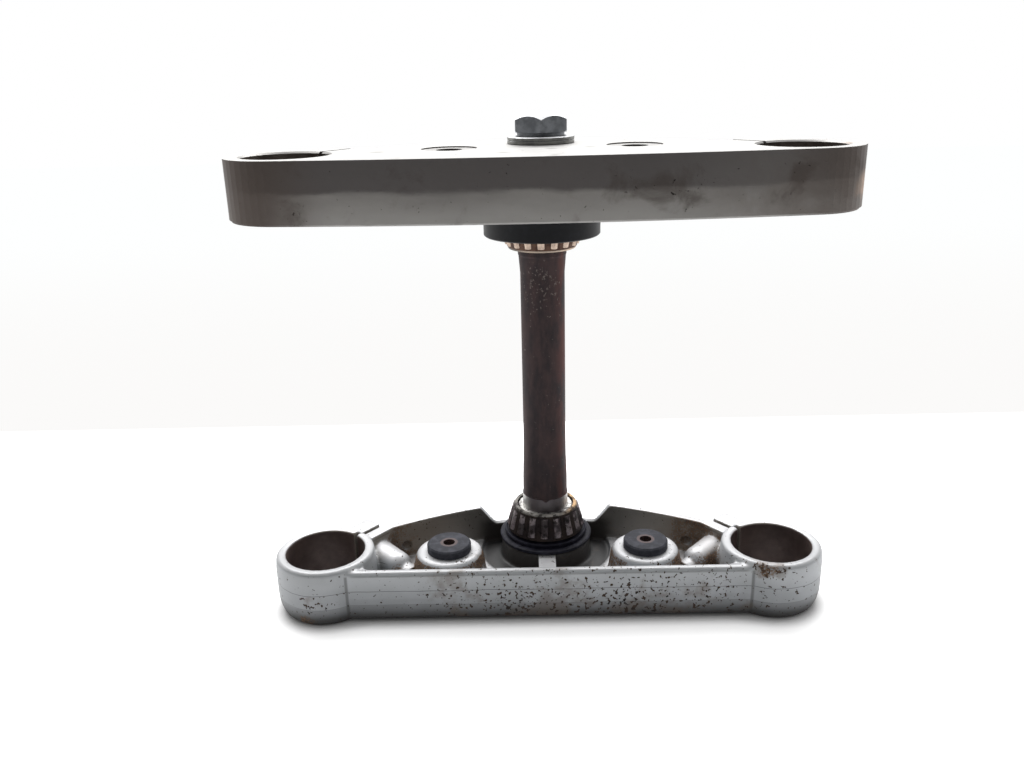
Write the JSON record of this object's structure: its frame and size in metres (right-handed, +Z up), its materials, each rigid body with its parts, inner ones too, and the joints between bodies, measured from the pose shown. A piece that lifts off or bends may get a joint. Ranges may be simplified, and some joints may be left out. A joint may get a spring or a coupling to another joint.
{
  "type": "motorcycle triple clamp",
  "caption": "Motorcycle triple clamp: upper and lower fork clamps on a steering stem with tapered roller bearings, dust cap, seal and rubber grommets.",
  "frame": {"origin": "steering stem axis at the level that the lower clamp stands on", "axes": "+Z up the stem, +X to the right seen from the front, +Y to the rear of the motorcycle"},
  "size_m": [0.294, 0.106, 0.2511],
  "materials": {
    "cast_alloy": "satin, stained and worn",
    "silver_paint": "silver paint with rust and chips",
    "stem_steel": "dark heat-scaled steel",
    "bolt_steel": "plated, dull",
    "washer_steel": "zinc plated",
    "race_steel": "ground",
    "cage_steel": "pressed, greasy",
    "roller_steel": "ground, greasy",
    "black_paint": "satin black",
    "black_rubber": "satin",
    "grey_rubber": "matt"
  },
  "bodies": {
    "root": {"upper_clamp": "cast_alloy", "lower_clamp": "silver_paint", "steering_stem": "stem_steel", "stem_bolt": "bolt_steel", "stem_washer": "washer_steel", "dust_cap": "black_paint", "adjuster_nut": "race_steel", "upper_cone": "race_steel", "lower_cone": "race_steel", "lower_seal": "black_rubber", "left_grommet": "grey_rubber", "right_grommet": "grey_rubber", "left_grommet_sleeve": "race_steel", "right_grommet_sleeve": "race_steel", "upper_left_pinch_bolt": "bolt_steel", "upper_right_pinch_bolt": "bolt_steel", "lower_left_pinch_bolt": "bolt_steel", "lower_right_pinch_bolt": "bolt_steel"},
    "upper_cage": {"upper_cage": "cage_steel"},
    "upper_roller_01": {"upper_roller_01": "roller_steel"},
    "upper_roller_02": {"upper_roller_02": "roller_steel"},
    "upper_roller_03": {"upper_roller_03": "roller_steel"},
    "upper_roller_04": {"upper_roller_04": "roller_steel"},
    "upper_roller_05": {"upper_roller_05": "roller_steel"},
    "upper_roller_06": {"upper_roller_06": "roller_steel"},
    "upper_roller_07": {"upper_roller_07": "roller_steel"},
    "upper_roller_08": {"upper_roller_08": "roller_steel"},
    "upper_roller_09": {"upper_roller_09": "roller_steel"},
    "upper_roller_10": {"upper_roller_10": "roller_steel"},
    "upper_roller_11": {"upper_roller_11": "roller_steel"},
    "upper_roller_12": {"upper_roller_12": "roller_steel"},
    "upper_roller_13": {"upper_roller_13": "roller_steel"},
    "upper_roller_14": {"upper_roller_14": "roller_steel"},
    "upper_roller_15": {"upper_roller_15": "roller_steel"},
    "upper_roller_16": {"upper_roller_16": "roller_steel"},
    "upper_roller_17": {"upper_roller_17": "roller_steel"},
    "lower_cage": {"lower_cage": "cage_steel"},
    "lower_roller_01": {"lower_roller_01": "roller_steel"},
    "lower_roller_02": {"lower_roller_02": "roller_steel"},
    "lower_roller_03": {"lower_roller_03": "roller_steel"},
    "lower_roller_04": {"lower_roller_04": "roller_steel"},
    "lower_roller_05": {"lower_roller_05": "roller_steel"},
    "lower_roller_06": {"lower_roller_06": "roller_steel"},
    "lower_roller_07": {"lower_roller_07": "roller_steel"},
    "lower_roller_08": {"lower_roller_08": "roller_steel"},
    "lower_roller_09": {"lower_roller_09": "roller_steel"},
    "lower_roller_10": {"lower_roller_10": "roller_steel"},
    "lower_roller_11": {"lower_roller_11": "roller_steel"},
    "lower_roller_12": {"lower_roller_12": "roller_steel"},
    "lower_roller_13": {"lower_roller_13": "roller_steel"},
    "lower_roller_14": {"lower_roller_14": "roller_steel"},
    "lower_roller_15": {"lower_roller_15": "roller_steel"},
    "lower_roller_16": {"lower_roller_16": "roller_steel"},
    "lower_roller_17": {"lower_roller_17": "roller_steel"}
  },
  "joints": [
    {"name": "upper_cage_spin", "type": "hinge", "parent": "root", "child": "upper_cage", "pos_m": [0, 0, 0.19285], "axis": [0, 0, 1], "continuous": true},
    {"name": "upper_roller_01_spin", "type": "hinge", "parent": "upper_cage", "child": "upper_roller_01", "pos_m": [0.00572, -0.01743, 0.19285], "axis": [0.0765, -0.2331, 0.9694], "continuous": true},
    {"name": "upper_roller_02_spin", "type": "hinge", "parent": "upper_cage", "child": "upper_roller_02", "pos_m": [0.01164, -0.01419, 0.19285], "axis": [0.1555, -0.1897, 0.9694], "continuous": true},
    {"name": "upper_roller_03_spin", "type": "hinge", "parent": "upper_cage", "child": "upper_roller_03", "pos_m": [0.01598, -0.00903, 0.19285], "axis": [0.2136, -0.1207, 0.9694], "continuous": true},
    {"name": "upper_roller_04_spin", "type": "hinge", "parent": "upper_cage", "child": "upper_roller_04", "pos_m": [0.01816, -0.00265, 0.19285], "axis": [0.2427, -0.0354, 0.9694], "continuous": true},
    {"name": "upper_roller_05_spin", "type": "hinge", "parent": "upper_cage", "child": "upper_roller_05", "pos_m": [0.01789, 0.00409, 0.19285], "axis": [0.2391, 0.0547, 0.9694], "continuous": true},
    {"name": "upper_roller_06_spin", "type": "hinge", "parent": "upper_cage", "child": "upper_roller_06", "pos_m": [0.0152, 0.01028, 0.19285], "axis": [0.2032, 0.1374, 0.9694], "continuous": true},
    {"name": "upper_roller_07_spin", "type": "hinge", "parent": "upper_cage", "child": "upper_roller_07", "pos_m": [0.01046, 0.01507, 0.19285], "axis": [0.1399, 0.2015, 0.9694], "continuous": true},
    {"name": "upper_roller_08_spin", "type": "hinge", "parent": "upper_cage", "child": "upper_roller_08", "pos_m": [0.00431, 0.01784, 0.19285], "axis": [0.0576, 0.2384, 0.9694], "continuous": true},
    {"name": "upper_roller_09_spin", "type": "hinge", "parent": "upper_cage", "child": "upper_roller_09", "pos_m": [-0.00242, 0.01819, 0.19285], "axis": [-0.0324, 0.2432, 0.9694], "continuous": true},
    {"name": "upper_roller_10_spin", "type": "hinge", "parent": "upper_cage", "child": "upper_roller_10", "pos_m": [-0.00883, 0.01609, 0.19285], "axis": [-0.118, 0.215, 0.9694], "continuous": true},
    {"name": "upper_roller_11_spin", "type": "hinge", "parent": "upper_cage", "child": "upper_roller_11", "pos_m": [-0.01405, 0.01181, 0.19285], "axis": [-0.1878, 0.1579, 0.9694], "continuous": true},
    {"name": "upper_roller_12_spin", "type": "hinge", "parent": "upper_cage", "child": "upper_roller_12", "pos_m": [-0.01736, 0.00594, 0.19285], "axis": [-0.2321, 0.0794, 0.9694], "continuous": true},
    {"name": "upper_roller_13_spin", "type": "hinge", "parent": "upper_cage", "child": "upper_roller_13", "pos_m": [-0.01834, -0.00073, 0.19285], "axis": [-0.2451, -0.0098, 0.9694], "continuous": true},
    {"name": "upper_roller_14_spin", "type": "hinge", "parent": "upper_cage", "child": "upper_roller_14", "pos_m": [-0.01683, -0.00731, 0.19285], "axis": [-0.225, -0.0977, 0.9694], "continuous": true},
    {"name": "upper_roller_15_spin", "type": "hinge", "parent": "upper_cage", "child": "upper_roller_15", "pos_m": [-0.01306, -0.0129, 0.19285], "axis": [-0.1745, -0.1724, 0.9694], "continuous": true},
    {"name": "upper_roller_16_spin", "type": "hinge", "parent": "upper_cage", "child": "upper_roller_16", "pos_m": [-0.00751, -0.01674, 0.19285], "axis": [-0.1005, -0.2238, 0.9694], "continuous": true},
    {"name": "upper_roller_17_spin", "type": "hinge", "parent": "upper_cage", "child": "upper_roller_17", "pos_m": [-0.00096, -0.01833, 0.19285], "axis": [-0.0128, -0.245, 0.9694], "continuous": true},
    {"name": "lower_cage_spin", "type": "hinge", "parent": "root", "child": "lower_cage", "pos_m": [0, 0, 0.03065], "axis": [0, 0, 1], "continuous": true},
    {"name": "lower_roller_01_spin", "type": "hinge", "parent": "lower_cage", "child": "lower_roller_01", "pos_m": [0.00572, -0.01743, 0.03065], "axis": [-0.0765, 0.2331, 0.9694], "continuous": true},
    {"name": "lower_roller_02_spin", "type": "hinge", "parent": "lower_cage", "child": "lower_roller_02", "pos_m": [0.01164, -0.01419, 0.03065], "axis": [-0.1555, 0.1897, 0.9694], "continuous": true},
    {"name": "lower_roller_03_spin", "type": "hinge", "parent": "lower_cage", "child": "lower_roller_03", "pos_m": [0.01598, -0.00903, 0.03065], "axis": [-0.2136, 0.1207, 0.9694], "continuous": true},
    {"name": "lower_roller_04_spin", "type": "hinge", "parent": "lower_cage", "child": "lower_roller_04", "pos_m": [0.01816, -0.00265, 0.03065], "axis": [-0.2427, 0.0354, 0.9694], "continuous": true},
    {"name": "lower_roller_05_spin", "type": "hinge", "parent": "lower_cage", "child": "lower_roller_05", "pos_m": [0.01789, 0.00409, 0.03065], "axis": [-0.2391, -0.0547, 0.9694], "continuous": true},
    {"name": "lower_roller_06_spin", "type": "hinge", "parent": "lower_cage", "child": "lower_roller_06", "pos_m": [0.0152, 0.01028, 0.03065], "axis": [-0.2032, -0.1374, 0.9694], "continuous": true},
    {"name": "lower_roller_07_spin", "type": "hinge", "parent": "lower_cage", "child": "lower_roller_07", "pos_m": [0.01046, 0.01507, 0.03065], "axis": [-0.1399, -0.2015, 0.9694], "continuous": true},
    {"name": "lower_roller_08_spin", "type": "hinge", "parent": "lower_cage", "child": "lower_roller_08", "pos_m": [0.00431, 0.01784, 0.03065], "axis": [-0.0576, -0.2384, 0.9694], "continuous": true},
    {"name": "lower_roller_09_spin", "type": "hinge", "parent": "lower_cage", "child": "lower_roller_09", "pos_m": [-0.00242, 0.01819, 0.03065], "axis": [0.0324, -0.2432, 0.9694], "continuous": true},
    {"name": "lower_roller_10_spin", "type": "hinge", "parent": "lower_cage", "child": "lower_roller_10", "pos_m": [-0.00883, 0.01609, 0.03065], "axis": [0.118, -0.215, 0.9694], "continuous": true},
    {"name": "lower_roller_11_spin", "type": "hinge", "parent": "lower_cage", "child": "lower_roller_11", "pos_m": [-0.01405, 0.01181, 0.03065], "axis": [0.1878, -0.1579, 0.9694], "continuous": true},
    {"name": "lower_roller_12_spin", "type": "hinge", "parent": "lower_cage", "child": "lower_roller_12", "pos_m": [-0.01736, 0.00594, 0.03065], "axis": [0.2321, -0.0794, 0.9694], "continuous": true},
    {"name": "lower_roller_13_spin", "type": "hinge", "parent": "lower_cage", "child": "lower_roller_13", "pos_m": [-0.01834, -0.00073, 0.03065], "axis": [0.2451, 0.0098, 0.9694], "continuous": true},
    {"name": "lower_roller_14_spin", "type": "hinge", "parent": "lower_cage", "child": "lower_roller_14", "pos_m": [-0.01683, -0.00731, 0.03065], "axis": [0.225, 0.0977, 0.9694], "continuous": true},
    {"name": "lower_roller_15_spin", "type": "hinge", "parent": "lower_cage", "child": "lower_roller_15", "pos_m": [-0.01306, -0.0129, 0.03065], "axis": [0.1745, 0.1724, 0.9694], "continuous": true},
    {"name": "lower_roller_16_spin", "type": "hinge", "parent": "lower_cage", "child": "lower_roller_16", "pos_m": [-0.00751, -0.01674, 0.03065], "axis": [0.1005, 0.2238, 0.9694], "continuous": true},
    {"name": "lower_roller_17_spin", "type": "hinge", "parent": "lower_cage", "child": "lower_roller_17", "pos_m": [-0.00096, -0.01833, 0.03065], "axis": [0.0128, 0.245, 0.9694], "continuous": true}
  ],
  "couplings": [
    {"joint": "upper_roller_01_spin", "follows": "upper_cage_spin", "ratio": 6.8391},
    {"joint": "upper_roller_02_spin", "follows": "upper_cage_spin", "ratio": 6.8391},
    {"joint": "upper_roller_03_spin", "follows": "upper_cage_spin", "ratio": 6.8391},
    {"joint": "upper_roller_04_spin", "follows": "upper_cage_spin", "ratio": 6.8391},
    {"joint": "upper_roller_05_spin", "follows": "upper_cage_spin", "ratio": 6.8391},
    {"joint": "upper_roller_06_spin", "follows": "upper_cage_spin", "ratio": 6.8391},
    {"joint": "upper_roller_07_spin", "follows": "upper_cage_spin", "ratio": 6.8391},
    {"joint": "upper_roller_08_spin", "follows": "upper_cage_spin", "ratio": 6.8391},
    {"joint": "upper_roller_09_spin", "follows": "upper_cage_spin", "ratio": 6.8391},
    {"joint": "upper_roller_10_spin", "follows": "upper_cage_spin", "ratio": 6.8391},
    {"joint": "upper_roller_11_spin", "follows": "upper_cage_spin", "ratio": 6.8391},
    {"joint": "upper_roller_12_spin", "follows": "upper_cage_spin", "ratio": 6.8391},
    {"joint": "upper_roller_13_spin", "follows": "upper_cage_spin", "ratio": 6.8391},
    {"joint": "upper_roller_14_spin", "follows": "upper_cage_spin", "ratio": 6.8391},
    {"joint": "upper_roller_15_spin", "follows": "upper_cage_spin", "ratio": 6.8391},
    {"joint": "upper_roller_16_spin", "follows": "upper_cage_spin", "ratio": 6.8391},
    {"joint": "upper_roller_17_spin", "follows": "upper_cage_spin", "ratio": 6.8391},
    {"joint": "lower_roller_01_spin", "follows": "lower_cage_spin", "ratio": 6.8391},
    {"joint": "lower_roller_02_spin", "follows": "lower_cage_spin", "ratio": 6.8391},
    {"joint": "lower_roller_03_spin", "follows": "lower_cage_spin", "ratio": 6.8391},
    {"joint": "lower_roller_04_spin", "follows": "lower_cage_spin", "ratio": 6.8391},
    {"joint": "lower_roller_05_spin", "follows": "lower_cage_spin", "ratio": 6.8391},
    {"joint": "lower_roller_06_spin", "follows": "lower_cage_spin", "ratio": 6.8391},
    {"joint": "lower_roller_07_spin", "follows": "lower_cage_spin", "ratio": 6.8391},
    {"joint": "lower_roller_08_spin", "follows": "lower_cage_spin", "ratio": 6.8391},
    {"joint": "lower_roller_09_spin", "follows": "lower_cage_spin", "ratio": 6.8391},
    {"joint": "lower_roller_10_spin", "follows": "lower_cage_spin", "ratio": 6.8391},
    {"joint": "lower_roller_11_spin", "follows": "lower_cage_spin", "ratio": 6.8391},
    {"joint": "lower_roller_12_spin", "follows": "lower_cage_spin", "ratio": 6.8391},
    {"joint": "lower_roller_13_spin", "follows": "lower_cage_spin", "ratio": 6.8391},
    {"joint": "lower_roller_14_spin", "follows": "lower_cage_spin", "ratio": 6.8391},
    {"joint": "lower_roller_15_spin", "follows": "lower_cage_spin", "ratio": 6.8391},
    {"joint": "lower_roller_16_spin", "follows": "lower_cage_spin", "ratio": 6.8391},
    {"joint": "lower_roller_17_spin", "follows": "lower_cage_spin", "ratio": 6.8391}
  ]
}
